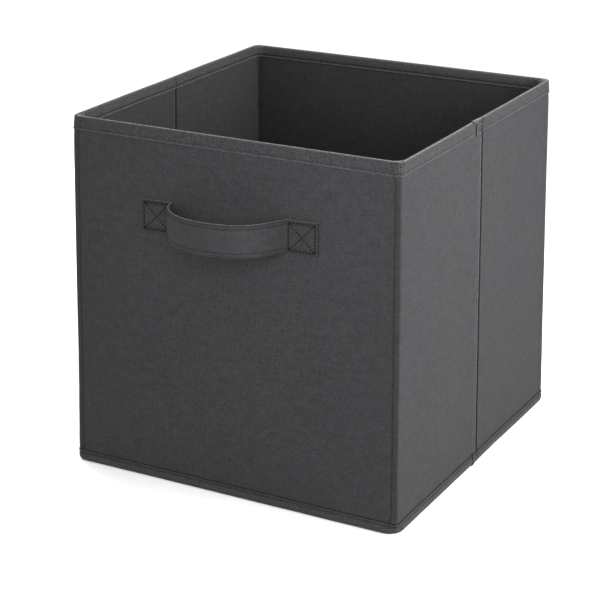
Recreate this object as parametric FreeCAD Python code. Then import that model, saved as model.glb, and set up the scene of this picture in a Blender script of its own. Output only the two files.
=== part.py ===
"""Collapsible fabric storage bin, a 270 mm cube of board-stiffened non-woven fabric.

Frame: millimetres, +Z up, the origin at the middle of the underside, the handle on the -Y wall.
Each wall is an outer cover, a board and a lining, bound with tape along the rim and along the foot.
The two side walls are creased upright at their middle, so that they fold inwards and the rear wall
comes up to the front one. The base board is sewn to the front wall and flips up against it first.
"""

import FreeCAD
import Part
import math
import os

from FreeCAD import Vector

# Driving sizes
BIN_SIZE = 270.0             # over the binding tape, the same in width, depth and height
TAPE_T = 0.6                 # binding tape
FABRIC_T = 0.5               # non-woven fabric of the covers and linings
BOARD_T = 2.0                # grey board stiffener
CORNER_R = 3.0               # upright corners, measured on the outer cover
LEAST_ROUNDING = 0.2         # a corner that would be sharper than this is left square
RIM_TAPE_OUTSIDE = 10.2      # height of the rim tape on the outer face
RIM_TAPE_INSIDE = 9.0        # and on the inner face
FOOT_TAPE_OUTSIDE = 9.0      # the same for the tape round the foot
FOOT_TAPE_INSIDE = 8.0
HEM_SOLID = 4.4              # below this the foot tape is rolled round the turned-in edges
BOARD_BOTTOM = 9.6           # the wall boards stop above the foot's stitching
BOARD_TOP = 267.0            # and just under the rim's fold

# The fold
FOLD_AXIS_INSET = 5.4        # corner fold axis, in from the inner face of the front or rear wall
CORNER_GAP = 0.8             # free slit between a corner return and the side wall beside it
CREASE_GAP = 0.2             # free slit at the middle crease
BOARD_TO_CREASE = 2.0        # the side boards stop short of the crease
BOARD_TO_FOLD = 2.0          # and short of the corner fold axis
BOARD_TO_CORNER = 3.4        # the front and rear boards stop at the corner stitch line

# The floor of the bin
BASE_CLEAR = 0.5             # base board to the tape round it
BASE_LIFT = 0.2              # base board above the sewn bottom sheet
SHEET_CLEAR = 0.1            # bottom sheet to the tape round it

# The handle
HANDLE_X = -1.0              # the strap's middle; it is sewn on a little off centre
HANDLE_Z = 205.5
STRAP_WIDTH = 23.6
STRAP_T = 1.6                # three plies
STRAP_END = 24.5             # length of each sewn end
ARCH_HALF = 45.5             # half the span of the free loop, to the middle of the strap
ARCH_RISE = 32.0             # how far the loop stands out
GRIP_START = 11.5            # the loop turns rigidly beyond this distance from the wall
STITCH_INSET = 2.0           # stitch line to the strap's edge
STITCH_PITCH = 3.0
STITCH_LENGTH = 2.1
STITCH_T = 0.4

# Planes worked out from those, each as a distance from the middle of the bin
TAPE_OUT = BIN_SIZE / 2
COVER_OUT = TAPE_OUT - TAPE_T
BOARD_OUT = COVER_OUT - FABRIC_T
BOARD_IN = BOARD_OUT - BOARD_T
LINING_IN = BOARD_IN - FABRIC_T
TAPE_IN = LINING_IN - TAPE_T
FOLD_AXIS = LINING_IN - FOLD_AXIS_INSET
RETURN_END = FOLD_AXIS + CORNER_GAP
WALL_TOP = BIN_SIZE - TAPE_T

SIDE_SIGNS = {"left": -1, "right": 1}
END_SIGNS = {"front": -1, "rear": 1}


def block(x0, x1, y0, y1, z0, z1):
    """A box between two corners, given in any order."""
    low = Vector(min(x0, x1), min(y0, y1), min(z0, z1))
    high = Vector(max(x0, x1), max(y0, y1), max(z0, z1))
    size = high - low
    return Part.makeBox(size.x, size.y, size.z, low)


def square_prism(half, z0, z1):
    """A square post about the origin, its upright edges rounded to follow the bin's corners."""
    post = block(-half, half, -half, half, z0, z1)
    radius = CORNER_R - (COVER_OUT - half)
    if radius < LEAST_ROUNDING:
        return post
    upright = [e for e in post.Edges if e.BoundBox.ZLength > (z1 - z0) / 2]
    return post.makeFillet(radius, upright)


def ring(outer, inner, z0, z1):
    """The skin between two distances from the middle, all the way round."""
    return square_prism(outer, z0, z1).cut(square_prism(inner, z0, z1))


def sectors():
    """The space of each wall: the front and rear ones reach round the corners as short returns."""
    far = BIN_SIZE
    found = {}
    for end, sign in END_SIGNS.items():
        found[end] = block(-far, far, sign * RETURN_END, sign * far, -far, 2 * far)
    for side, x_sign in SIDE_SIGNS.items():
        for end, y_sign in END_SIGNS.items():
            found[side + "_" + end] = block(
                0, x_sign * far, y_sign * CREASE_GAP / 2, y_sign * FOLD_AXIS, -far, 2 * far
            )
    return found


def rim_tape():
    """Tape folded over the top edge of the walls."""
    low = BIN_SIZE - RIM_TAPE_OUTSIDE
    tape = ring(TAPE_OUT, TAPE_IN, low, BIN_SIZE)
    tape = tape.cut(ring(COVER_OUT, LINING_IN, low, WALL_TOP))
    return tape.cut(ring(LINING_IN, TAPE_IN, low, BIN_SIZE - RIM_TAPE_INSIDE))


def foot_tape():
    """Tape rolled round the bottom edge: a solid hem below, a fold on both faces above it."""
    tape = ring(TAPE_OUT, TAPE_IN, 0, FOOT_TAPE_OUTSIDE)
    tape = tape.cut(ring(COVER_OUT, LINING_IN, HEM_SOLID, FOOT_TAPE_OUTSIDE))
    return tape.cut(ring(LINING_IN, TAPE_IN, FOOT_TAPE_INSIDE, FOOT_TAPE_OUTSIDE))


def wall_board(wall):
    """The stiffener inside one wall or half side wall."""
    if wall in END_SIGNS:
        sign = END_SIGNS[wall]
        half = COVER_OUT - BOARD_TO_CORNER
        return block(-half, half, sign * BOARD_IN, sign * BOARD_OUT, BOARD_BOTTOM, BOARD_TOP)
    side, end = wall.split("_")
    x_sign, y_sign = SIDE_SIGNS[side], END_SIGNS[end]
    return block(
        x_sign * BOARD_IN, x_sign * BOARD_OUT,
        y_sign * BOARD_TO_CREASE, y_sign * (FOLD_AXIS - BOARD_TO_FOLD),
        BOARD_BOTTOM, BOARD_TOP,
    )


def wall_parts():
    """Cover, lining, board and both tapes of every wall."""
    skins = {
        "outer_cover": ring(COVER_OUT, BOARD_OUT, HEM_SOLID, WALL_TOP),
        "lining": ring(BOARD_IN, LINING_IN, HEM_SOLID, WALL_TOP),
        "rim_tape": rim_tape(),
        "foot_tape": foot_tape(),
    }
    made = {}
    for wall, space in sectors().items():
        for layer, skin in skins.items():
            made[wall + "_" + layer] = skin.common(space)
        made[wall + "_board"] = wall_board(wall)
    return made


def base_parts():
    """The base board in its sewn cover, and the bottom sheet below it that is sewn into the foot."""
    half = TAPE_IN - BASE_CLEAR
    low = FABRIC_T + BASE_LIFT
    top = low + 2 * FABRIC_T + BOARD_T
    inner = half - FABRIC_T
    board = block(-inner, inner, -inner, inner, low + FABRIC_T, top - FABRIC_T)
    underside = block(-inner, inner, -inner, inner, low, low + FABRIC_T)
    cover = block(-half, half, -half, half, low, top).cut(
        block(-inner, inner, -inner, inner, low, top - FABRIC_T)
    )
    reach = TAPE_IN - SHEET_CLEAR
    return {
        "base_board": board,
        "base_cover_underside": underside,
        "base_cover": cover,
        "bottom_sheet": block(-reach, reach, -reach, reach, 0, FABRIC_T),
    }


def half_ellipse_post(half_span, rise, z0, z1):
    """A post on half an ellipse that stands on the front wall's face, its flat side on the wall."""
    middle = Vector(HANDLE_X, -COVER_OUT, z0)
    curve = Part.Ellipse(Vector(half_span, 0, 0), Vector(0, rise, 0), Vector(0, 0, 0))
    arc = Part.ArcOfEllipse(curve, math.pi, 2 * math.pi).toShape()
    chord = Part.makeLine(Vector(half_span, 0, 0), Vector(-half_span, 0, 0))
    face = Part.Face(Part.Wire([arc, chord]))
    face.translate(middle)
    return face.extrude(Vector(0, 0, z1 - z0))


def handle_parts():
    """The strap: two sewn ends, two roots that bend, and the loop that is gripped."""
    z0, z1 = HANDLE_Z - STRAP_WIDTH / 2, HANDLE_Z + STRAP_WIDTH / 2
    half_t = STRAP_T / 2
    loop = half_ellipse_post(ARCH_HALF + half_t, ARCH_RISE + half_t, z0, z1).cut(
        half_ellipse_post(ARCH_HALF - half_t, ARCH_RISE - half_t, z0, z1)
    )
    face = -COVER_OUT
    split = face - GRIP_START
    far = BIN_SIZE
    made = {"handle_loop": loop.common(block(-far, far, split, -far, 0, far))}
    for side, sign in SIDE_SIGNS.items():
        near = block(HANDLE_X, HANDLE_X + sign * far, face, split, 0, far)
        made["handle_root_" + side] = loop.common(near)
        start = HANDLE_X + sign * (ARCH_HALF + half_t)
        made["handle_end_" + side] = block(
            start, start + sign * STRAP_END, face, face - STRAP_T, z0, z1
        )
        made["handle_stitches_" + side] = box_and_cross(start + sign * STRAP_END / 2)
    return made


def stitch(x, z, angle):
    """One thread stitch lying on a sewn end of the strap, turned about the wall's normal."""
    y = -COVER_OUT - STRAP_T
    bar = block(-STITCH_LENGTH / 2, STITCH_LENGTH / 2, 0, -STITCH_T, -STITCH_T / 2, STITCH_T / 2)
    bar.rotate(Vector(0, 0, 0), Vector(0, 1, 0), -math.degrees(angle))
    bar.translate(Vector(x, y, z))
    return bar


def stitch_row(start, end, skip_ends):
    """Stitches evenly along a line from one (x, z) to another."""
    run = math.dist(start, end)
    count = round(run / STITCH_PITCH)
    angle = math.atan2(end[1] - start[1], end[0] - start[0])
    first = 1 if skip_ends else 0
    return [
        stitch(
            start[0] + (end[0] - start[0]) * (k + 0.5) / count,
            start[1] + (end[1] - start[1]) * (k + 0.5) / count,
            angle,
        )
        for k in range(first, count - first)
    ]


def box_and_cross(x):
    """The thread that holds one end of the strap: a square with both its diagonals."""
    dx = STRAP_END / 2 - STITCH_INSET
    dz = STRAP_WIDTH / 2 - STITCH_INSET
    corners = [
        (x - dx, HANDLE_Z - dz), (x + dx, HANDLE_Z - dz),
        (x + dx, HANDLE_Z + dz), (x - dx, HANDLE_Z + dz),
    ]
    threads = []
    for k, corner in enumerate(corners):
        threads += stitch_row(corner, corners[(k + 1) % len(corners)], False)
    centre = (x, HANDLE_Z)
    for corner in corners:
        threads += stitch_row(corner, centre, True)
    return Part.Compound(threads)


def main():
    os.makedirs("parts", exist_ok=True)
    made = {}
    made.update(wall_parts())
    made.update(base_parts())
    made.update(handle_parts())
    for name, shape in made.items():
        solids = shape.Solids
        valid = all(s.isValid() for s in solids)
        whole = solids[0] if len(solids) == 1 else Part.Compound(solids)
        whole.exportStep(os.path.join("parts", name + ".step"))
        print(name, len(solids), "valid" if valid else "BROKEN", round(whole.Volume, 1))


main()
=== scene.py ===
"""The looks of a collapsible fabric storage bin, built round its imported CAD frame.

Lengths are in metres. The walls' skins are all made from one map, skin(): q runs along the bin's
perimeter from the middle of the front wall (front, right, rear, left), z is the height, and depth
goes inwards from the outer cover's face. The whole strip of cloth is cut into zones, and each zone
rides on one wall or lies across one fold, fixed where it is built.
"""

import math

import bpy
import numpy as np
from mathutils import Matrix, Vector


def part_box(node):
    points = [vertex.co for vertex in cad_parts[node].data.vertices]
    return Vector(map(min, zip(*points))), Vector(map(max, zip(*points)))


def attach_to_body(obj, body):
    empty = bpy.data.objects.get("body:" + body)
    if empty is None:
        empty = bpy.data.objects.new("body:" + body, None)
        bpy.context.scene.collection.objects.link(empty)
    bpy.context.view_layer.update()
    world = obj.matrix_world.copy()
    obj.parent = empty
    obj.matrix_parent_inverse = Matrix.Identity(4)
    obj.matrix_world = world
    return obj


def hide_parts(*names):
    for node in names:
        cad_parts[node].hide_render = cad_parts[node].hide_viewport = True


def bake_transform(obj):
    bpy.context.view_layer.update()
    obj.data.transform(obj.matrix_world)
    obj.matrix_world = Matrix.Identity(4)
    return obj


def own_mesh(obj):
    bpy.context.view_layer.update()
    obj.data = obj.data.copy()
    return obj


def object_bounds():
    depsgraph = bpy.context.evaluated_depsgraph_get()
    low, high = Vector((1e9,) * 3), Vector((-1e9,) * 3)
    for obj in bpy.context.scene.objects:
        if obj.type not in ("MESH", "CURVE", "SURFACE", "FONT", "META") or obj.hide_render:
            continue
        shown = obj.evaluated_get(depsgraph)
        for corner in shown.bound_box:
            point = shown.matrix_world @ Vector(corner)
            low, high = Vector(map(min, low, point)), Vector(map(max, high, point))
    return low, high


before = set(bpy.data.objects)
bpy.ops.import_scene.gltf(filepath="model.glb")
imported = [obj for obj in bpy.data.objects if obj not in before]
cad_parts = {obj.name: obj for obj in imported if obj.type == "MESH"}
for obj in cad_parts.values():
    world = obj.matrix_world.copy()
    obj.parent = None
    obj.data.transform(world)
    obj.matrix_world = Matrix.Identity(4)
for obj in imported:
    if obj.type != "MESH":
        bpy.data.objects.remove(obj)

cad_low, cad_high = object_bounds()

MM = 0.001

# ---------------------------------------------------------------- sizes read from the frame
FACE = -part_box("front_outer_cover")[0].y            # outer face of the covers
BOARD_LOW, BOARD_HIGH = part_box("front_board")
CLOTH_T = FACE + BOARD_LOW.y
WALL_T = FACE + BOARD_HIGH.y + CLOTH_T              # cover, board and lining
HEIGHT = cad_high.z
RIM_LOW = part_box("front_rim_tape")[0].z
HEM_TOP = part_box("front_foot_tape")[1].z
COVER_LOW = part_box("front_outer_cover")[0].z
FOLD_X, FOLD_Y = 130.8 * MM, 126 * MM               # the upright axes of the corner folds
BASE_LOW, BASE_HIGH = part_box("base_cover")
SHEET_LOW, SHEET_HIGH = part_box("bottom_sheet")
LOOP_LOW, LOOP_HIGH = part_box("handle_loop")
END_LEFT_LOW, END_LEFT_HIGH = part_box("handle_end_left")
END_RIGHT_LOW, END_RIGHT_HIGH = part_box("handle_end_right")

# ---------------------------------------------------------------- the cloth's own sizes
CORNER_R = 1.4 * MM
RIM_CORNER_R = 4.5 * MM
RIM_FILLET = 9.0 * MM                               # the rim's cloth is gathered inside its corners
FOOT_CORNER_R = 4.5 * MM
LOOSE_FOOT_CORNER_R = 10.5 * MM                     # at the right front corner, where the tape is loose
LEAST_CORNER_R = 0.6 * MM
RIM_ROUNDING = 16 * MM                              # the corners get rounder this near to the rim
RIM_GATHERING = 14 * MM                             # and their cloth is gathered from here
RIM_GATHERED = 3 * MM                               # to here
FOOT_ROUNDING = 12 * MM                             # and rounder this near to the foot
SIDES_LEAN_IN = 4.0 * MM                            # the soft walls, against the upright boards
ENDS_LEAN_IN = 1.6 * MM
ENDS_SPREAD = 3.4 * MM
STRAIGHT = FACE - CORNER_R                          # half the flat length of one side
PITCH = 2 * (STRAIGHT + CORNER_R * math.pi / 4)     # from the middle of one side to the next
SEAM = 129.9 * MM                                   # corner seams on the front and rear faces
ZONE_END = 112 * MM                                 # where the side zones meet the corner zones
UNEVEN = 0.22 * MM                                  # soft waves of the stretched cloth
STITCH_PITCH = 3.1 * MM
STITCH_LENGTH = 2.2 * MM
THREAD_R = 0.21 * MM
SEAM_THREAD_R = 0.36 * MM
UNDER_TAPE = 0.45                                   # share of a seam's relief left under a tape
ON_LINING = 0.4                                     # share of the crease's relief on the lining
SEAM_SHADING_ON_TAPE = 0.35                              # share of a seam's painted highlight and shade left on a tape

FRONT, RIGHT, REAR, LEFT = 0, 1, 2, 3


# ---------------------------------------------------------------- the map of the walls
def smooth_step(t, start, end):
    u = np.clip((t - start) / (end - start), 0, 1)
    return u * u * (3 - 2 * u)


def bump(t, centre, width):
    return np.exp(-(((t - centre) / width) ** 2))


def waves(points, length, seed):
    """Smooth unevenness in space, about -1 to 1: crossing waves of about that length."""
    count = 11
    draw = np.random.default_rng(seed)
    total = 0
    for _ in range(count):
        direction = draw.normal(size=3)
        direction /= np.linalg.norm(direction)
        rate = 2 * math.pi / (length * draw.uniform(0.7, 1.5))
        total = total + np.sin(points @ direction * rate + draw.uniform(0, 2 * math.pi))
    return total / math.sqrt(2 * count)


def corner_radius(side, along, z, depth):
    """Radius of an upright corner, which grows towards the rim and the foot."""
    gathered = smooth_step(z, HEIGHT - RIM_GATHERING, HEIGHT - RIM_GATHERED)
    gathered = gathered * smooth_step(depth, 0, WALL_T)
    at_rim = (RIM_CORNER_R - CORNER_R) * smooth_step(z, HEIGHT - RIM_ROUNDING, HEIGHT)
    loose = np.where(along > 0, side, side - 1) % 4 == FRONT
    foot_radius = np.where(loose, LOOSE_FOOT_CORNER_R, FOOT_CORNER_R)
    at_foot = (foot_radius - CORNER_R) * (1 - smooth_step(z, 0, FOOT_ROUNDING))
    radius = np.maximum(CORNER_R + at_rim + at_foot - depth, LEAST_CORNER_R)
    return radius + gathered * RIM_FILLET


def half_width(z):
    """Half the bin's width outside the covers: the side walls lean in a little at the top."""
    return FACE - SIDES_LEAN_IN * z / HEIGHT


def half_length(z):
    """Half its length from front to rear: these walls spread at the foot as well."""
    return FACE + ENDS_SPREAD - (ENDS_SPREAD + ENDS_LEAN_IN) * z / HEIGHT


def side_of(q):
    """Which side a place on the perimeter is on, and how far along it from that side's middle."""
    side = np.rint(q / PITCH)
    return side, q - side * PITCH


def rearward(side, along):
    """Distance behind the crease of a side wall."""
    return np.where(side % 4 == LEFT, -along, along)


def seam_relief(along):
    """The stitched pleat beside each upright corner of the front and rear walls."""
    t = np.abs(along) - SEAM
    return MM * (-0.4 * bump(t, 0, 0.6 * MM) + 0.15 * bump(t, -1.6 * MM, 0.8 * MM)
                 + 0.15 * bump(t, 1.6 * MM, 0.8 * MM))


def crease_relief(y):
    """The stitched tuck in the middle of a side wall: a ridge, and a groove behind it."""
    return MM * (0.6 * bump(y, -1.3 * MM, 0.8 * MM) + 0.28 * bump(y, -6 * MM, 0.7 * MM)
                 - 0.95 * bump(y, 0.9 * MM, 0.7 * MM) + 0.2 * bump(y, 3.0 * MM, 1.2 * MM))


def seam_highlight_and_shade(side, along, depth):
    """How strong the painted highlight is on the ridges of a seam; below 0, the painted shade in its
    groove.
    """
    y = rearward(side, along)
    outside = (0.42 * bump(y, -1.5 * MM, 0.9 * MM) + 0.2 * bump(y, -6 * MM, 0.6 * MM)
               - 0.97 * bump(y, 1.2 * MM, 1.5 * MM))
    inside = 0.5 * bump(y, -1.7 * MM, 0.5 * MM) - 0.97 * bump(y, 0.7 * MM, 1.6 * MM)
    crease = np.where(depth > WALL_T / 2, inside, outside)
    past_seam = np.abs(along) - SEAM
    stitched = bump(past_seam, 0, 0.8 * MM)
    # painted shade along the stitched corner seam, and a little beyond it
    corner = -0.2 * stitched - 0.05 * smooth_step(past_seam, 0.4 * MM, 1.2 * MM)
    return np.where(side % 2 == 0, corner, crease)


def corner_dot_shading(along):
    """Near an upright corner the pressed dots are darkened more: painted shading of the light that
    grazes the bend.
    """
    return bump(np.abs(along), STRAIGHT + CORNER_R * math.pi / 4, 6 * MM)


def outward(side, along, z, depth, points):
    """How far the cloth stands out of its plane. It pushes the lining into the bin by as much."""
    broad, short = waves(points, 95 * MM, 3), waves(points, 27 * MM, 5)
    soft = UNEVEN * broad + 0.28 * UNEVEN * short
    sewn = np.where(side % 2 == 0, seam_relief(along), crease_relief(rearward(side, along)))
    under_tape = (z > RIM_LOW) | (z < HEM_TOP)
    sewn = np.where(under_tape, UNDER_TAPE * sewn, sewn)
    inner = np.where(side % 2 == 0, 0, ON_LINING * sewn)
    outer_share = 1 - smooth_step(depth, 0.3 * WALL_T, 0.7 * WALL_T)
    return soft + outer_share * sewn - (1 - outer_share) * inner


def skin(q, z, depth):
    """Points on the walls, and the outward direction there."""
    q, z, depth = np.broadcast_arrays(q, z, depth)
    side, along = side_of(q)
    turn = side * math.pi / 2
    normal = np.stack([np.sin(turn), -np.cos(turn)], -1)
    tangent = np.stack([np.cos(turn), np.sin(turn)], -1)
    radius = corner_radius(side, along, z, depth)
    end_wall = side % 2 == 0
    out = np.where(end_wall, half_length(z), half_width(z)) - depth
    reach = np.where(end_wall, half_width(z), half_length(z)) - depth - radius
    bend = np.maximum(np.abs(along) - STRAIGHT, 0) / CORNER_R * np.sign(along)
    ahead = np.clip(along / STRAIGHT, -1, 1) * reach + radius * np.sin(bend)
    out = out - radius * (1 - np.cos(bend))
    plan = normal * out[..., None] + tangent * ahead[..., None]
    direction = normal * np.cos(bend)[..., None] + tangent * np.sin(bend)[..., None]
    points = np.concatenate([plan, z[..., None]], -1)
    lift = outward(side, along, z, depth, points)
    points[..., :2] += direction * lift[..., None]
    flat_direction = np.concatenate([direction, np.zeros_like(z)[..., None]], -1)
    return points, flat_direction


# ---------------------------------------------------------------- meshes
def make_object(name, verts, faces, cloth=None, sharp=40, pressed=True):
    mesh = bpy.data.meshes.new(name)
    mesh.from_pydata(verts.tolist(), [], faces)
    if cloth is not None:
        field = mesh.attributes.new("cloth", "FLOAT_VECTOR", "POINT")
        field.data.foreach_set("vector", cloth.astype(np.float32).ravel())
        if pressed:
            # painted shading of the dots near the upright corners
            corner_dot_shade = mesh.attributes.new("corner_dot_shade", "FLOAT", "POINT")
            near = corner_dot_shading(side_of(cloth[:, 0])[1])
            corner_dot_shade.data.foreach_set("value", near.astype(np.float32))
    mesh.shade_smooth()
    mesh.set_sharp_from_angle(angle=math.radians(sharp))
    piece = bpy.data.objects.new(name, mesh)
    bpy.context.scene.collection.objects.link(piece)
    return piece


def slab(name, outer, inner, cloth, sharp=40, pressed=True):
    """A closed piece of cloth between two matching grids of points, its outer and inner faces."""
    n, m = outer.shape[:2]
    verts = np.concatenate([outer.reshape(-1, 3), inner.reshape(-1, 3)])
    first = (np.arange(n - 1)[:, None] * m + np.arange(m - 1)[None, :]).ravel()
    face = np.stack([first, first + m, first + m + 1, first + 1], 1)
    back = face[:, ::-1] + n * m
    ring = ([k * m for k in range(n - 1)] + [(n - 1) * m + k for k in range(m - 1)]
            + [(n - k) * m - 1 for k in range(n - 1)] + [m - 1 - k for k in range(m - 1)])
    ring = np.array(ring)
    after = np.roll(ring, -1)
    edge = np.stack([after, ring, ring + n * m, after + n * m], 1)
    faces = np.concatenate([face, back, edge]).tolist()
    field = np.concatenate([cloth.reshape(-1, 3)] * 2)
    return make_object(name, verts, faces, field, sharp, pressed)


def columns(q0, q1, step):
    """Places along the perimeter, closer together at the spots in FINE: (where, reach, step)."""
    found = [np.linspace(q0, q1, max(2, round((q1 - q0) / step) + 1))]
    for where, reach, close in FINE:
        low, high = max(q0, where - reach), min(q1, where + reach)
        if high > low:
            found.append(np.linspace(low, high, max(2, round((high - low) / close) + 1)))
    every = np.sort(np.concatenate(found))
    keep = np.concatenate([[True], np.diff(every) > 0.12 * MM])
    every = every[keep]
    every[-1] = q1
    return every


FINE = ([(k * PITCH + PITCH / 2, 3.2 * MM, 0.45 * MM) for k in range(-1, 5)]
        + [(k * PITCH + s * SEAM, 3.0 * MM, 0.4 * MM) for k in (FRONT, REAR, 4) for s in (-1, 1)]
        + [(k * PITCH, 9.0 * MM, 0.5 * MM) for k in (RIGHT, LEFT)]
        + [(k * PITCH + s * FOLD_Y, 7.0 * MM, 1.0 * MM) for k in (RIGHT, LEFT) for s in (-1, 1)])


def run_lengths(points, axis):
    return np.linalg.norm(np.diff(points, axis=axis), axis=-1).sum(axis)


def strip(name, q0, q1, exposed, hidden, painted_light, step=4 * MM):
    """Cloth along the perimeter between q0 and q1, with a section of (depth, z) points.

    Returns the piece and its flat length and width.
    """
    qs = columns(q0, q1, step)
    exposed, hidden = np.array(exposed), np.array(hidden)
    outer = skin(qs[:, None], exposed[None, :, 1], exposed[None, :, 0])[0]
    inner = skin(qs[:, None], hidden[None, :, 1], hidden[None, :, 0])[0]
    run = np.concatenate([[0], np.cumsum(np.linalg.norm(np.diff(exposed, axis=0), axis=1))])
    cloth = np.zeros(outer.shape)
    cloth[..., 0] = qs[:, None]
    cloth[..., 1] = run[None, :]
    side, along = side_of(qs[:, None])
    z, depth = exposed[None, :, 1], exposed[None, :, 0]
    taped = (z > RIM_LOW) | (z < HEM_TOP)
    seen = np.where(taped, SEAM_SHADING_ON_TAPE, 1)
    # painted light: the section's own highlights and shades, and the seams' painted highlight and shade
    cloth[..., 2] = np.array(painted_light)[None, :] + seen * seam_highlight_and_shade(side, along, depth)
    piece = slab(name, outer, inner, cloth)
    return piece, (float(run_lengths(outer, 0).mean()), float(run_lengths(outer, 1).mean()))


def flat_section(depth, back, low, high, step=4.6 * MM):
    rows = np.linspace(low, high, round((high - low) / step) + 1)
    return ([(depth, z) for z in rows], [(back, z) for z in rows], [0.0] * len(rows))


def round_section(points, passes=2):
    """Rounds an open run of section points by cutting its corners."""
    run = np.array(points, float)
    for _ in range(passes):
        near = 0.75 * run[:-1] + 0.25 * run[1:]
        far = 0.25 * run[:-1] + 0.75 * run[1:]
        middle = np.stack([near, far], 1).reshape(-1, run.shape[1])
        run = np.concatenate([run[:1], middle[1:-1], run[-1:]])
    return run


def taped_section(points, thickness):
    """Exposed points (depth mm, z, painted light) of a tape, and the hidden ones under them."""
    run = round_section(points)
    exposed = run[:, :2] * MM
    step = np.gradient(exposed, axis=0)
    step /= np.linalg.norm(step, axis=1)[:, None]
    inwards = np.stack([step[:, 1], -step[:, 0]], 1)
    return exposed, exposed + inwards * thickness, run[:, 2]


TOP = HEIGHT / MM
RIM_IN = 261.0                                      # lower edge of the rim tape on the lining
RIM_OUT = RIM_LOW / MM                              # and on the cover
DEEP = WALL_T / MM
RIM_POINTS = [                                      # depth and height in mm, and painted light: highlight above 0, shade below 0
    (0.0, RIM_OUT - 0.1, -0.2), (-0.6, RIM_OUT - 0.1, 0.1), (-0.8, RIM_OUT + 0.5, 0.25),
    (-0.74, RIM_OUT + 1.2, 0.1), (-0.5, RIM_OUT + 2.0, -0.25), (-0.72, RIM_OUT + 2.8, 0.0),
    (-0.74, RIM_OUT + 5.0, 0.0), (-0.74, TOP - 2.2, 0.0), (-0.74, TOP - 1.0, 0.0),
    # painted highlight along the top fold
    (-0.6, TOP - 0.35, 0.2), (-0.1, TOP + 0.05, 1.5), (0.8, TOP + 0.1, 1.1), (1.8, TOP - 0.3, 0.2),
    (3.0, TOP - 1.1, 0.0), (DEEP + 0.3, TOP - 2.2, 0.1), (DEEP + 0.62, TOP - 4.0, 0.12),
    (DEEP + 0.62, RIM_IN + 4.0, 0.12), (DEEP + 0.62, RIM_IN + 2.9, 0.1),
    (DEEP + 0.3, RIM_IN + 2.0, -0.35), (DEEP + 0.62, RIM_IN + 1.2, 0.15),
    (DEEP + 0.74, RIM_IN + 0.5, 0.6), (DEEP + 0.55, RIM_IN, 0.2), (DEEP, RIM_IN, -0.4),
]
FOOT_OUT = HEM_TOP / MM                             # upper edge of the foot tape on the cover
FOOT_IN = 8.0                                       # and on the lining
# the third values as in RIM_POINTS: painted shade along the upper edge and in the stitch channels,
# faint painted highlights on the lips
FOOT_POINTS = [
    (DEEP, FOOT_IN, 0.0), (DEEP + 0.5, FOOT_IN, 0.0), (DEEP + 0.65, FOOT_IN - 0.7, 0.1),
    (DEEP + 0.25, FOOT_IN - 1.7, -0.3), (DEEP + 0.6, FOOT_IN - 2.6, 0.0), (DEEP + 0.6, 2.2, 0.0),
    (DEEP + 0.1, 0.4, 0.0), (DEEP - 0.8, 0.0, 0.0), (1.2, 0.0, 0.0), (-0.1, 0.3, 0.0),
    (-1.0, 1.7, 0.1), (-1.3, 3.8, 0.1), (-1.0, 5.4, 0.05), (-0.8, FOOT_OUT - 3.2, 0.0),
    (-0.3, FOOT_OUT - 2.3, -0.35), (-0.7, FOOT_OUT - 1.5, 0.1), (-0.85, FOOT_OUT - 0.8, 0.14),
    (-0.7, FOOT_OUT - 0.1, -0.6), (0.0, FOOT_OUT, -0.8),
]
TAPE_T = 0.55 * MM


def lap(name, edge, end, exposed, hidden, painted_light):
    """The loose end of a tape laid over its beginning: edge(z) is where the end was cut."""
    exposed, hidden = np.array(exposed), np.array(hidden)
    share = np.linspace(0, 1, 14) ** 1.6
    start = edge(exposed[:, 1])
    qs = start[None, :] * (1 - share[:, None]) + end * share[:, None]
    raised = (0.1 + 0.5 * np.clip(1 - share, 0, 1) ** 0.5)[:, None] * MM
    step = np.gradient(exposed, axis=0)
    step /= np.linalg.norm(step, axis=1)[:, None]
    out = np.stack([-step[:, 1], step[:, 0]], 1)
    outer = skin(qs, exposed[None, :, 1] + out[None, :, 1] * raised,
                 exposed[None, :, 0] + out[None, :, 0] * raised)[0]
    inner = skin(qs, hidden[None, :, 1], hidden[None, :, 0])[0]
    cloth = np.zeros(outer.shape)
    cloth[..., 0] = qs
    cloth[..., 1] = exposed[None, :, 1]
    # painted shadow right along the cut edge, and a painted highlight just beside it
    cloth[..., 2] = (np.array(painted_light)[None, :] + 0.4 * bump(share[:, None], 0.09, 0.05)
                     - 2.0 * bump(share[:, None], 0, 0.035))
    return slab(name, outer, inner, cloth)


# ---------------------------------------------------------------- the zones of the walls
def on(body):
    return lambda piece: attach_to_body(piece, body)


def across():
    return lambda piece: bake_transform(piece)


ZONES = [
    ("front", -SEAM, SEAM, on("front_wall"), ["front"]),
    ("right_front_corner", SEAM, PITCH - ZONE_END,
     across(), []),
    ("right", PITCH - ZONE_END, PITCH + ZONE_END,
     across(),
     ["right_front", "right_rear"]),
    ("right_rear_edge", PITCH + ZONE_END, PITCH + FOLD_Y - 0.1 * MM, on("right_rear_panel"), []),
    ("right_rear_corner", PITCH + FOLD_Y + 0.1 * MM, 2 * PITCH - SEAM, on("rear_wall"), []),
    ("rear", 2 * PITCH - SEAM, 2 * PITCH + SEAM, on("rear_wall"), ["rear"]),
    ("left_rear_corner", 2 * PITCH + SEAM, 3 * PITCH - ZONE_END,
     across(), []),
    ("left", 3 * PITCH - ZONE_END, 3 * PITCH + ZONE_END,
     across(),
     ["left_front", "left_rear"]),
    ("left_front_corner", 3 * PITCH + ZONE_END, 4 * PITCH - SEAM,
     across(), []),
]


def dress(piece, attach, material, stands_for=()):
    piece.data.materials.append(material)
    attach(piece)
    if stands_for:
        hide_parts(*stands_for)


def wall_layer(zone, layer, section, material):
    name, q0, q1, attach, walls = zone
    piece, flat = strip(f"{layer}_{name}", q0, q1, *section)
    dress(piece, attach, material, [f"{w}_{layer}" for w in walls])


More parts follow.
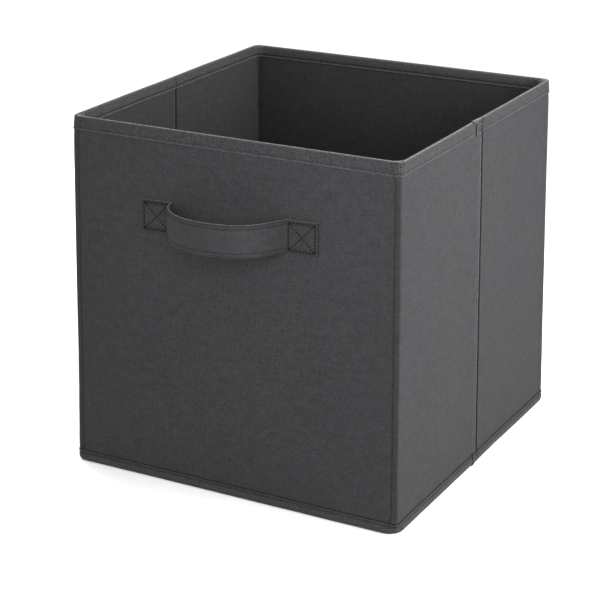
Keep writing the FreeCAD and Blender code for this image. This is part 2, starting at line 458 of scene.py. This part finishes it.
# ---------------------------------------------------------------- thread
def thread(name, points, tangents, normals, length=STITCH_LENGTH, radius=THREAD_R):
    """Separate stitches: each a short bent thread that dives into the cloth at both ends."""
    along = np.array([-1.0, -0.72, -0.3, 0.3, 0.72, 1.0])
    rise = 0.55 * (1 - along ** 4) - 0.35
    thick = np.array([0.45, 0.9, 1.0, 1.0, 0.9, 0.45])
    sides = 6
    n = len(points)
    radius = np.broadcast_to(radius, n)[:, None]
    tangents = tangents / np.linalg.norm(tangents, axis=1)[:, None]
    across_dir = np.cross(normals, tangents)
    centre = (points[:, None] + tangents[:, None] * (along * length / 2)[None, :, None]
              + normals[:, None] * (rise[None, :] * 2 * radius)[..., None])
    angle = np.arange(sides) * 2 * math.pi / sides
    ring = (across_dir[:, None, None] * np.cos(angle)[None, None, :, None]
            + normals[:, None, None] * np.sin(angle)[None, None, :, None])
    verts = centre[:, :, None] + ring * (thick[None, :] * radius)[..., None, None]
    per = len(along) * sides
    faces = []
    for k in range(n):
        base = k * per
        for r in range(len(along) - 1):
            for s in range(sides):
                a, b = base + r * sides + s, base + r * sides + (s + 1) % sides
                faces.append((a, b, b + sides, a + sides))
        faces.append(tuple(base + s for s in reversed(range(sides))))
        faces.append(tuple(base + per - sides + s for s in range(sides)))
    return make_object(name, verts.reshape(-1, 3), faces, sharp=60)


def level_thread(name, q0, q1, z, depth, inwards):
    """A row of stitches at one height."""
    count = max(1, round((q1 - q0) / STITCH_PITCH))
    q = q0 + (np.arange(count) + 0.5) * (q1 - q0) / count
    points, normals = skin(q, z, depth)
    tangents = skin(q + 0.5 * MM, z, depth)[0] - skin(q - 0.5 * MM, z, depth)[0]
    return thread(name, points, tangents, -normals if inwards else normals)


def upright_thread(name, q, low, high, depth, inwards, radius=SEAM_THREAD_R):
    """A row of stitches straight up."""
    count = round((high - low) / STITCH_PITCH)
    z = low + (np.arange(count) + 0.5) * (high - low) / count
    points, normals = skin(np.full(count, q), z, depth)
    tangents = np.tile([0.0, 0.0, 1.0], (count, 1))
    return thread(name, points, tangents, -normals if inwards else normals, radius=radius)


# ---------------------------------------------------------------- materials
class Nodes:
    """A short way to write a material's node tree."""

    def __init__(self, name):
        self.material = bpy.data.materials.new(name)
        self.material.use_nodes = True
        self.tree = self.material.node_tree
        self.shader = self.tree.nodes["Principled BSDF"]

    def add(self, kind, inputs=None, **settings):
        node = self.tree.nodes.new(kind)
        for key, value in settings.items():
            setattr(node, key, value)
        for key, value in (inputs or {}).items():
            self.put(node.inputs[key], value)
        return node

    def put(self, socket, value):
        if hasattr(value, "outputs"):
            value = value.outputs[0]
        if isinstance(value, bpy.types.NodeSocket):
            self.tree.links.new(value, socket)
        else:
            socket.default_value = value

    def math(self, operation, a, b):
        return self.add("ShaderNodeMath", {0: a, 1: b}, operation=operation)

    def noise(self, vector, scale, detail, rough):
        inputs = {"Vector": vector, "Scale": scale, "Detail": detail, "Roughness": rough}
        return self.add("ShaderNodeTexNoise", inputs).outputs["Fac"]

    def spread(self, value, low, high, to_low, to_high):
        """Maps low..high of a value to to_low..to_high."""
        inputs = {0: value, 1: low, 2: high, 3: to_low, 4: to_high}
        return self.add("ShaderNodeMapRange", inputs)


DOTS_PER_M = 850.0
DOT_SHADE_AT_CORNER = 1.1                                 # the dots are darkened more where the cloth is bent: painted shading of grazing light
DEEPEST_PAINTED_SHADE = 0.06                                      # share of the colour left where the painted shade of a groove is deepest


def nonwoven(name, colour, highlight_colour, grain=0.29, dot=0.2):
    """Spun-bonded cloth: pressed dots on the bias, loose fibres, and painted highlights and shades.

    The cloth attribute holds the place along and across the cloth, and its painted light: above 0
    the colour is mixed towards a painted highlight, below 0 it is darkened by painted shade, as
    in a groove.
    """
    n = Nodes(name)
    source = n.add("ShaderNodeAttribute", attribute_name="cloth").outputs["Vector"]
    split = n.add("ShaderNodeSeparateXYZ", {0: source})
    plane = n.add("ShaderNodeCombineXYZ", {0: split.outputs[0], 1: split.outputs[1]})
    bias = n.add("ShaderNodeMapping", {"Vector": plane, "Rotation": (0, 0, math.radians(45))})
    cells = n.add("ShaderNodeTexVoronoi", {"Vector": bias, "Scale": DOTS_PER_M, "Randomness": 0.12},
                  voronoi_dimensions="2D")
    dots = n.spread(cells.outputs["Distance"], 0.18, 0.45, 1.0, 0.0)
    # painted shading: the dots are darkened more near the upright corners
    corner_dot_shade = n.add("ShaderNodeAttribute", attribute_name="corner_dot_shade").outputs["Fac"]
    pressed = n.spread(corner_dot_shade, 0.0, 1.0, dot, dot + DOT_SHADE_AT_CORNER)
    depth = n.math("MULTIPLY", dots, pressed)
    upright = n.add("ShaderNodeMapping", {"Vector": plane, "Scale": (1.0, 0.3, 1.0)})
    level_run = n.add("ShaderNodeMapping", {"Vector": plane, "Scale": (0.4, 1.0, 1.0)})
    fibres = n.noise(plane, 760.0, 3.0, 0.75)
    streaks = n.noise(upright, 420.0, 2.0, 0.6)
    weft = n.noise(level_run, 800.0, 2.0, 0.6)
    mottle = n.noise(level_run, 230.0, 2.0, 0.5)
    cloud = n.noise(plane, 16.0, 2.0, 0.5)
    crossed = n.math("ADD", n.spread(weft, 0.3, 0.7, -0.5 * grain, 0.5 * grain),
                     n.spread(streaks, 0.3, 0.7, -0.35 * grain, 0.35 * grain))
    fine = n.math("ADD", n.spread(fibres, 0.3, 0.7, -grain, grain), crossed)
    broad = n.math("ADD", n.spread(mottle, 0.3, 0.7, -0.09, 0.09),
                   n.spread(cloud, 0.3, 0.7, -0.03, 0.03))
    shade = n.math("ADD", fine, broad)
    # the tone is lifted by as much as the dots darken it on average, so the painted dot shading keeps
    # the mean tone
    evened = n.math("ADD", shade, n.math("MULTIPLY", pressed, 0.3))
    level = n.math("ADD", n.math("SUBTRACT", evened, depth), 1.0)
    # painted shade: below 0 the third value darkens the colour, as in grooves and seams
    groove_shade = n.math("ADD", n.math("MINIMUM", split.outputs[2], 0.0), 1.0)
    level = n.math("MULTIPLY", level, n.math("MAXIMUM", groove_shade, DEEPEST_PAINTED_SHADE))
    base = n.add("ShaderNodeRGB")
    base.outputs[0].default_value = (*colour, 1)
    tinted = n.add("ShaderNodeVectorMath", {0: base, "Scale": level}, operation="SCALE")
    # painted highlight: above 0 the third value mixes in a pale colour
    highlight_amount = n.math("MAXIMUM", split.outputs[2], 0.0)
    highlight_mix = n.math("MULTIPLY", highlight_amount, n.spread(fibres, 0.38, 0.62, 0.1, 1.0))
    mixed = n.add("ShaderNodeMix", {"Factor": highlight_mix}, data_type="RGBA")
    n.put(mixed.inputs["A"], tinted)
    mixed.inputs["B"].default_value = (*highlight_colour, 1)
    n.put(n.shader.inputs["Base Color"], mixed.outputs["Result"])
    n.put(n.shader.inputs["Roughness"], n.spread(fibres, 0.2, 0.8, 0.75, 0.95))
    n.shader.inputs["Specular IOR Level"].default_value = 0.1
    n.shader.inputs["Sheen Weight"].default_value = 0.02
    n.shader.inputs["Sheen Roughness"].default_value = 0.5
    height = n.math("SUBTRACT", n.math("MULTIPLY", fibres, 0.6), n.math("MULTIPLY", dots, 0.8))
    relief = n.add("ShaderNodeBump", {"Strength": 0.6, "Distance": 0.00014, "Height": height})
    n.put(n.shader.inputs["Normal"], relief)
    return n.material


def thread_material(name, colour):
    """Twisted polyester sewing thread."""
    n = Nodes(name)
    source = n.add("ShaderNodeTexCoord").outputs["Object"]
    twist = n.add("ShaderNodeTexWave", {"Vector": source, "Scale": 900.0, "Distortion": 1.5},
                  bands_direction="DIAGONAL")
    shade = n.spread(twist, 0.0, 1.0, 0.7, 1.3)
    base = n.add("ShaderNodeRGB")
    base.outputs[0].default_value = (*colour, 1)
    tinted = n.add("ShaderNodeVectorMath", {0: base, "Scale": shade}, operation="SCALE")
    n.put(n.shader.inputs["Base Color"], tinted)
    n.shader.inputs["Roughness"].default_value = 0.75
    n.shader.inputs["Specular IOR Level"].default_value = 0.08
    relief = n.add("ShaderNodeBump", {"Strength": 0.4, "Distance": 0.00008, "Height": twist})
    n.put(n.shader.inputs["Normal"], relief)
    return n.material


def board_material(name):
    """Uncoated grey board with flecks of pulp."""
    n = Nodes(name)
    source = n.add("ShaderNodeTexCoord").outputs["Object"]
    pulp = n.noise(source, 420.0, 5.0, 0.7)
    cloud = n.noise(source, 30.0, 3.0, 0.5)
    ramp = n.add("ShaderNodeValToRGB", {0: n.math("MULTIPLY", n.math("ADD", pulp, cloud), 0.5)})
    ramp.color_ramp.elements[0].position = 0.35
    ramp.color_ramp.elements[0].color = (0.22, 0.20, 0.17, 1)
    ramp.color_ramp.elements[1].position = 0.65
    ramp.color_ramp.elements[1].color = (0.42, 0.39, 0.34, 1)
    n.put(n.shader.inputs["Base Color"], ramp.outputs["Color"])
    n.shader.inputs["Roughness"].default_value = 0.9
    relief = n.add("ShaderNodeBump", {"Strength": 0.5, "Distance": 0.0001, "Height": pulp})
    n.put(n.shader.inputs["Normal"], relief)
    return n.material


CLOTH = (0.0228, 0.0228, 0.0245)
# the pale colour of the painted highlights on folds, edges and ridges
PAINTED_HIGHLIGHT = (0.125, 0.125, 0.13)


def shade_of(share):
    return tuple(share * channel for channel in CLOTH)


cover_cloth = nonwoven("charcoal_nonwoven_cover", CLOTH, PAINTED_HIGHLIGHT)
lining_cloth = nonwoven("charcoal_nonwoven_lining", shade_of(0.97), PAINTED_HIGHLIGHT)
tape_cloth = nonwoven("charcoal_nonwoven_tape", shade_of(1.1), PAINTED_HIGHLIGHT, grain=0.44, dot=0.3)
strap_cloth = nonwoven("charcoal_nonwoven_strap", shade_of(0.96), PAINTED_HIGHLIGHT, grain=0.22, dot=0.12)
base_cloth = nonwoven("charcoal_nonwoven_base", CLOTH, PAINTED_HIGHLIGHT)
dark_thread = thread_material("dark_thread", (0.005, 0.005, 0.0055))
grey_thread = thread_material("charcoal_thread", (0.010, 0.010, 0.011))
greyboard = board_material("grey_board")


# ---------------------------------------------------------------- the walls
COVER_TOP = RIM_LOW + 4 * MM                        # cover and lining end inside the rim tape


def make_walls():
    cover = flat_section(0.0, CLOTH_T, COVER_LOW, COVER_TOP)
    lining = flat_section(WALL_T, WALL_T - CLOTH_T, COVER_LOW, COVER_TOP)
    rim = taped_section(RIM_POINTS, TAPE_T)
    foot = taped_section(FOOT_POINTS, TAPE_T)
    for zone in ZONES:
        wall_layer(zone, "outer_cover", cover, cover_cloth)
        wall_layer(zone, "lining", lining, lining_cloth)
        wall_layer(zone, "rim_tape", rim, tape_cloth)
        wall_layer(zone, "foot_tape", foot, tape_cloth)


def make_open_corner():
    """A tongue of cloth behind the slit at the right rear corner, where the ring of walls is open.

    It is bent round the fold's axis, up to where the leaning wall comes too near to the axis.
    """
    clear = 0.12 * MM
    thick = 0.4 * MM
    least = 0.5 * MM
    start = FACE - CLOTH_T - clear - FOLD_X
    top = (start - least) / SIDES_LEAN_IN * HEIGHT
    z = np.linspace(0.6 * MM, top, 40)[None, :]
    angle = np.radians(np.linspace(86, -12, 14))[:, None]

    def face(shrink):
        radius = half_width(z) - CLOTH_T - clear - FOLD_X - shrink
        plan = [FOLD_X + radius * np.cos(angle), FOLD_Y - radius * np.sin(angle), z + 0 * angle]
        return np.stack(plan, -1)

    outer, inner = face(0.0), face(thick)
    cloth = np.zeros(outer.shape)
    cloth[..., 0] = start * angle
    cloth[..., 1] = z
    piece = slab("outer_cover_open_corner", outer, inner, cloth, pressed=False)
    dress(piece, on("rear_wall"), cover_cloth)


def make_tape_laps():
    """Both tapes begin and end on the right, just in front of the crease."""
    _, q0, q1, attach, _ = next(zone for zone in ZONES if zone[0] == "right")
    crease = (q0 + q1) / 2
    rim = taped_section(RIM_POINTS, TAPE_T)
    foot = taped_section(FOOT_POINTS, TAPE_T)

    def rim_cut(z):
        """The rim tape's end is cut askew, and its upper corner is folded away."""
        up = (z - RIM_LOW) / (HEIGHT - RIM_LOW)
        return crease - (11.5 + 1.3 * bump(up, 0.35, 0.2) + 5.5 * smooth_step(up, 0.72, 1.0)) * MM

    def foot_cut(z):
        return crease - (7.5 - 0.1 * z / MM) * MM

    laps = (("rim", rim_cut, -2.8 * MM, rim), ("foot", foot_cut, -1.5 * MM, foot))
    for label, cut, end, section in laps:
        piece = lap(f"{label}_tape_lap", cut, crease + end, *section)
        dress(piece, attach, tape_cloth)


def make_tape_thread():
    """The four rows of stitches that hold the tapes, in the channels of their sections."""
    rows = [
        ("rim_thread_outside", RIM_LOW + 2.0 * MM, -0.32 * MM, False),
        ("rim_thread_inside", (RIM_IN + 1.9) * MM, WALL_T + 0.32 * MM, True),
        ("foot_thread_outside", HEM_TOP - 1.8 * MM, -0.34 * MM, False),
        ("foot_thread_inside", (FOOT_IN - 1.6) * MM, WALL_T + 0.32 * MM, True),
    ]
    for name, q0, q1, attach, _ in ZONES:
        for row, z, depth, inwards in rows:
            piece = level_thread(f"{row}_{name}", q0, q1, z, depth, inwards)
            dress(piece, attach, grey_thread)


def make_upright_thread():
    """Stitches along both creases and all corner seams, and a tack over the rim at each crease."""
    low, high = HEM_TOP + 1 * MM, RIM_LOW - 1 * MM
    for name, q0, q1, attach, _ in ZONES:
        if name in ("left", "right"):
            q = (q0 + q1) / 2
            rear = 1 if name == "right" else -1
            groove = q + rear * 0.9 * MM
            piece = upright_thread(f"crease_thread_outside_{name}", groove, low, high, 0.0, False)
            dress(piece, attach, dark_thread)
            tack = q - rear * 2.2 * MM
            piece = upright_thread(f"rim_tack_{name}", tack, RIM_LOW, HEIGHT - 1.5 * MM,
                                   -0.72 * MM, False, 0.36 * MM)
            dress(piece, attach, dark_thread)
            piece = upright_thread(f"crease_thread_inside_{name}", groove, low, high, WALL_T, True)
            dress(piece, attach, dark_thread)
        if name in ("front", "rear"):
            for side, q in (("start", q0), ("end", q1)):
                piece = upright_thread(f"corner_thread_{name}_{side}", q, low, high, 0.0, False,
                                       THREAD_R)
                dress(piece, attach, grey_thread)


# ---------------------------------------------------------------- the floor of the bin
def level_sheet(name, low, high, spread, radius, ripple, edge_round, step=5 * MM):
    """A closed flat piece with soft edges and rounded corners, between two corners of a box.

    spread is how far it reaches beyond the box along x and y, or stays inside it below 0.
    """
    half_x, half_y = (high.x - low.x) / 2 + spread[0], (high.y - low.y) / 2 + spread[1]
    lip = edge_round * np.array([0.1, 0.3, 0.6])
    rows = []
    for half in (half_x, half_y):
        inner = np.linspace(-half + edge_round, half - edge_round, round(2 * half / step) + 1)
        rows.append(np.concatenate([[-half], lip - half, inner, half - lip[::-1], [half]]))
    x, y = np.meshgrid(rows[0], rows[1], indexing="ij")
    near = np.minimum(half_x - np.abs(x), half_y - np.abs(y)) / edge_round
    crown = np.sqrt(np.clip(1 - (1 - np.clip(near, 0, 1)) ** 2, 0, 1))
    middle = (low.z + high.z) / 2
    thick = (high.z - low.z) / 2
    into = np.maximum(np.stack([np.abs(x) - half_x, np.abs(y) - half_y], -1) + radius, 0)
    size = np.linalg.norm(into, axis=-1, keepdims=True)
    rounded = into * (into.max(axis=-1, keepdims=True) / np.maximum(size, 0.01 * MM) - 1)
    centre_x, centre_y = (low.x + high.x) / 2, (low.y + high.y) / 2
    flat = np.stack([x + np.sign(x) * rounded[..., 0] + centre_x,
                     y + np.sign(y) * rounded[..., 1] + centre_y, np.zeros_like(x)], -1)
    wavy = ripple * waves(flat, 60 * MM, 11) * np.clip(near / 6, 0, 1)
    top, under = flat.copy(), flat.copy()
    top[..., 2] = middle + thick * (0.12 + 0.88 * crown) + wavy
    under[..., 2] = middle - thick * (0.12 + 0.88 * crown)
    cloth = flat.copy()
    # painted highlight along the rounded edges
    cloth[..., 2] = np.where(near < 0.5, 0.5, 0)
    return slab(name, top, under, cloth, pressed=False)


# The base board clears the leaning walls and the rim tape when it is flipped up.
BASE_SHORTER = Vector((0, 3.5 * MM, 0))
BASE_NARROWER = (-3.6 * MM, 0)
SHEET_SEWN_IN = (1.6 * MM, ENDS_SPREAD + 1.0 * MM)


def make_base():
    base = level_sheet("base_board_cover", BASE_LOW, BASE_HIGH - BASE_SHORTER, BASE_NARROWER,
                       radius=2 * MM, ripple=0.2 * MM, edge_round=1.6 * MM)
    dress(base, on("base_flap"), base_cloth,
          ["base_cover", "base_cover_underside"])
    low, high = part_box("base_board")
    board = level_sheet("base_stiffener", low, high - BASE_SHORTER, BASE_NARROWER,
                        radius=1 * MM, ripple=0.0, edge_round=0.3 * MM)
    dress(board, on("base_flap"), greyboard, ["base_board"])
    sheet = level_sheet("bottom_cloth", SHEET_LOW, SHEET_HIGH, SHEET_SEWN_IN,
                        radius=4 * MM, ripple=0.0, edge_round=0.3 * MM, step=8 * MM)
    dress(sheet, on("front_wall"), base_cloth, ["bottom_sheet"])
    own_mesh(sheet)


# ---------------------------------------------------------------- the strap handle
STRAP_T = END_LEFT_HIGH.y - END_LEFT_LOW.y
STRAP_X = (END_LEFT_LOW.x + END_RIGHT_HIGH.x) / 2
STRAP_Z = (LOOP_LOW.z + LOOP_HIGH.z) / 2
STRAP_HALF = (LOOP_HIGH.z - LOOP_LOW.z) / 2
STRAP_TILT = 0.02                                   # it is sewn on a little askew
STRAP_RAISED = 0.8 * MM
ROOT_LEFT, ROOT_RIGHT = END_LEFT_HIGH.x, END_RIGHT_LOW.x
LOOP_OUT = -LOOP_LOW.y - FACE - STRAP_T / 2
ARCH = [                                            # mm from the strap's middle, share of the reach
    (-45.8, 0.0), (-45.6, 0.2), (-40.0, 0.5), (-27.5, 0.82), (-10.0, 1.0), (9.0, 1.0),
    (24.5, 0.885), (35.8, 0.58), (41.3, 0.28), (46.0, 0.02),
]
STRAP_STEP = 0.6 * MM
EDGE_THREAD = 0.73 * STRAP_HALF
EDGE_CREASE = 0.925 * STRAP_HALF
END_INSET = 1.9 * MM
END_STITCH_PITCH = 2.6 * MM
BOX_THREAD_R = 0.5 * MM
CROSS_THREAD_R = 0.36 * MM


def even(points, step):
    """The same run of points, spaced evenly."""
    length = run_so_far(points)
    s = np.linspace(0, length[-1], round(length[-1] / step) + 1)
    return np.stack([np.interp(s, length, points[:, k]) for k in range(points.shape[1])], 1)


def run_so_far(points):
    steps = np.linalg.norm(np.diff(points, axis=0), axis=1)
    return np.concatenate([[0], np.cumsum(steps)])


def strap_path():
    """The strap's middle in plan, as x and the distance out from the wall."""
    lie = STRAP_T / 2
    arch = [(STRAP_X + x * MM, max(share * LOOP_OUT, lie)) for x, share in ARCH]
    before = [(END_LEFT_LOW.x, lie), (ROOT_LEFT - 2.5 * MM, lie)]
    after = [(ROOT_RIGHT + 4 * MM, lie), (END_RIGHT_HIGH.x, lie)]
    return even(round_section(before + arch + after, 4), STRAP_STEP)


def wall_at(z):
    """How far the leaning front wall stands out at a height."""
    return half_length(z) + 0.1 * MM


def strap_point(x, out, w):
    """The place in space of a point on the strap, w across its width."""
    z = STRAP_Z + STRAP_RAISED + STRAP_TILT * (x - STRAP_X) + w
    return np.stack([x, -wall_at(z) - out, z], -1)


def strap_section():
    """Half the strap's thickness across its width, with folded edges and sewn channels."""
    edge = STRAP_HALF / MM
    w = np.array([1, 0.996, 0.985, 0.965, 0.925, 0.89, 0.83, 0.77, 0.73, 0.69, 0.6, 0.3]) * edge
    half = np.array([0.3, 0.5, 0.66, 0.74, 0.66, 0.76, 0.74, 0.66, 0.52, 0.66, 0.76, 0.76])
    w = np.concatenate([-w, [0], w[::-1]])
    half = np.concatenate([half, [0.78], half[::-1]])
    return w * MM, half * MM


def strap_highlight_and_shade(w):
    # painted highlight on the folded edges; painted shade in the edge creases and along the thread
    # channels
    edge = 0.8 * (np.abs(w) > 0.99 * STRAP_HALF)
    creased = 0.4 * bump(np.abs(w), EDGE_CREASE, 0.35 * MM)
    sewn = 0.3 * bump(np.abs(w), EDGE_THREAD, 0.5 * MM)
    return edge - creased - sewn


def across_handle(piece):
    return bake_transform(piece)


def make_strap():
    run = strap_path()
    step = np.gradient(run, axis=0)
    step /= np.linalg.norm(step, axis=1)[:, None]
    out = np.stack([-step[:, 1], step[:, 0]], 1)
    w, half = strap_section()

    def face(sign):
        plan = run[:, None] + sign * out[:, None] * half[None, :, None]
        return strap_point(plan[..., 0], plan[..., 1], w[None, :])

    outer, inner = face(1), face(-1)
    cloth = np.zeros(outer.shape)
    cloth[..., 0] = run_so_far(run)[:, None]
    cloth[..., 1] = w[None, :]
    cloth[..., 2] = strap_highlight_and_shade(w)[None, :]
    strap = slab("handle_strap", outer, inner, cloth, sharp=60, pressed=False)
    dress(strap, across_handle, strap_cloth,
          ["handle_loop", "handle_root_left", "handle_root_right",
           "handle_end_left", "handle_end_right"])
    make_edge_thread(run, step, out)


def make_edge_thread(run, step, out):
    """A row of stitches along both edges of the free loop."""
    free = run[:, 1] > 3 * MM
    picks = np.flatnonzero(free)[::round(STITCH_PITCH / STRAP_STEP)]
    normals = np.stack([out[picks, 0], -out[picks, 1], np.zeros(len(picks))], 1)
    tangents = np.stack([step[picks, 0], -step[picks, 1], np.zeros(len(picks))], 1)
    plan = run[picks] + out[picks] * 0.55 * MM
    for label, height in (("upper", 1), ("lower", -1)):
        points = strap_point(plan[:, 0], plan[:, 1], height * EDGE_THREAD)
        piece = thread(f"handle_edge_thread_{label}", points, tangents, normals, 2.0 * MM, 0.2 * MM)
        dress(piece, across_handle, grey_thread)


def make_end_thread():
    """The sewn square with its cross on each end of the strap."""
    half = STRAP_HALF - END_INSET
    for label, low, high in (("left", END_LEFT_LOW, END_LEFT_HIGH),
                             ("right", END_RIGHT_LOW, END_RIGHT_HIGH)):
        x0, x1 = low.x + END_INSET, high.x - END_INSET
        square = [(x0, -half), (x1, -half), (x1, half), (x0, half)]
        runs = [(square[k], square[(k + 1) % 4], BOX_THREAD_R) for k in range(4)]
        runs += [(square[k], square[k + 2], CROSS_THREAD_R) for k in range(2)]
        points, tangents, radii = [], [], []
        for start, end, radius in runs:
            start, end = np.array(start), np.array(end)
            count = round(np.linalg.norm(end - start) / END_STITCH_PITCH)
            share = ((np.arange(count) + 0.5) / count)[:, None]
            at = start * (1 - share) + end * share
            points.append(strap_point(at[:, 0], np.full(count, STRAP_T), at[:, 1]))
            tangents.append(np.tile([(end - start)[0], 0, (end - start)[1]], (count, 1)))
            radii.append(np.full(count, radius))
        points = np.concatenate(points)
        piece = thread(f"handle_cross_thread_{label}", points, np.concatenate(tangents),
                       np.tile([0.0, -1.0, 0.0], (len(points), 1)), 2.0 * MM,
                       np.concatenate(radii))
        dress(piece, on("front_wall"), dark_thread, [f"handle_stitches_{label}"])


# ---------------------------------------------------------------- the boards
BOARD_T = BOARD_HIGH.y - BOARD_LOW.y
BOARD_REACH = 127.5 * MM                            # keeps the end boards clear of the corner seams
SIDE_BOARD_REACH = 122.3 * MM                       # and the side boards clear of the corner folds
BOARDS = [
    ("front", FRONT, "front_wall"), ("right_front", RIGHT, "right_front_panel"),
    ("right_rear", RIGHT, "right_rear_panel"), ("rear", REAR, "rear_wall"),
    ("left_rear", LEFT, "left_rear_panel"), ("left_front", LEFT, "left_front_panel"),
]


def make_boards():
    """The stiffening boards, which lean with the cloth that they are sewn into."""
    for wall, side, body in BOARDS:
        low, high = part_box(f"{wall}_board")
        ends = {FRONT: (low.x, high.x), RIGHT: (low.y, high.y),
                REAR: (-high.x, -low.x), LEFT: (-high.y, -low.y)}[side]
        reach = BOARD_REACH if side in (FRONT, REAR) else SIDE_BOARD_REACH
        q0, q1 = (side * PITCH + min(max(a, -reach), reach) for a in ends)
        section = flat_section(CLOTH_T, CLOTH_T + BOARD_T, low.z, high.z, 12 * MM)
        piece, _ = strip(f"board_{wall}", q0, q1, *section, step=12 * MM)
        dress(piece, on(body), greyboard, [f"{wall}_board"])


# ---------------------------------------------------------------- room and camera
FLOOR_HALF = 6.0
FLOOR_GREY = 0.8
STUDIO_LIGHT = 1.26                                 # just bright enough for a white floor
LIGHTS = [                                          # name, place, target, size, power
    ("key_right", (0.58, 0.0, 0.44), (0.13, 0, 0.19), 0.36, 7.6),
    ("fill_front", (0.14, -0.4, 0.33), (0.02, -0.13, 0.22), 0.22, 1.18),
    ("back_left", (-0.75, 0.35, 0.75), (-0.3, -0.1, 0), 0.5, 6.0),
]
CAMERA_AZIMUTH, CAMERA_ELEVATION = math.radians(28.4), math.radians(20.3)
CAMERA_DISTANCE = 1.428
CAMERA_AIM = Vector((-0.0171, 0, 0.10535))
CAMERA_LENS = 109.9


def make_room():
    corners = [(-1, -1, 0), (1, -1, 0), (1, 1, 0), (-1, 1, 0)]
    verts = np.array(corners) * FLOOR_HALF
    floor = make_object("floor", verts, [(0, 1, 2, 3)])
    n = Nodes("pale_floor")
    n.shader.inputs["Base Color"].default_value = (FLOOR_GREY, FLOOR_GREY, FLOOR_GREY, 1)
    n.shader.inputs["Roughness"].default_value = 0.9
    floor.data.materials.append(n.material)
    floor.location.z = -0.2 * MM
    world = bpy.data.worlds.new("studio")
    bpy.context.scene.world = world
    world.use_nodes = True
    background = world.node_tree.nodes["Background"]
    background.inputs["Color"].default_value = (1, 1, 1, 1)
    background.inputs["Strength"].default_value = STUDIO_LIGHT


def soft_light(name, place, target, size, power):
    light = bpy.data.lights.new(name, "AREA")
    light.shape = "DISK"
    light.size = size
    light.energy = power
    lamp = bpy.data.objects.new(name, light)
    lamp.location = place
    lamp.visible_camera = False
    aim = Vector(target) - Vector(place)
    lamp.rotation_mode = "QUATERNION"
    lamp.rotation_quaternion = aim.to_track_quat("-Z", "Y")
    bpy.context.scene.collection.objects.link(lamp)


def make_lights():
    bpy.context.scene.view_settings.view_transform = "Standard"
    for light in LIGHTS:
        soft_light(*light)


def make_camera():
    level = math.cos(CAMERA_ELEVATION)
    back = Vector((math.sin(CAMERA_AZIMUTH) * level, -math.cos(CAMERA_AZIMUTH) * level,
                   math.sin(CAMERA_ELEVATION)))
    data = bpy.data.cameras.new("camera")
    data.sensor_width = 36
    data.lens = CAMERA_LENS
    camera = bpy.data.objects.new("camera", data)
    camera.location = CAMERA_AIM + back * CAMERA_DISTANCE
    camera.rotation_mode = "QUATERNION"
    camera.rotation_quaternion = (-back).to_track_quat("-Z", "Y")
    bpy.context.scene.collection.objects.link(camera)
    bpy.context.scene.camera = camera


make_camera()
make_room()
make_lights()
make_walls()
make_open_corner()
make_tape_laps()
make_tape_thread()
make_upright_thread()
make_base()
make_strap()
make_end_thread()
make_boards()
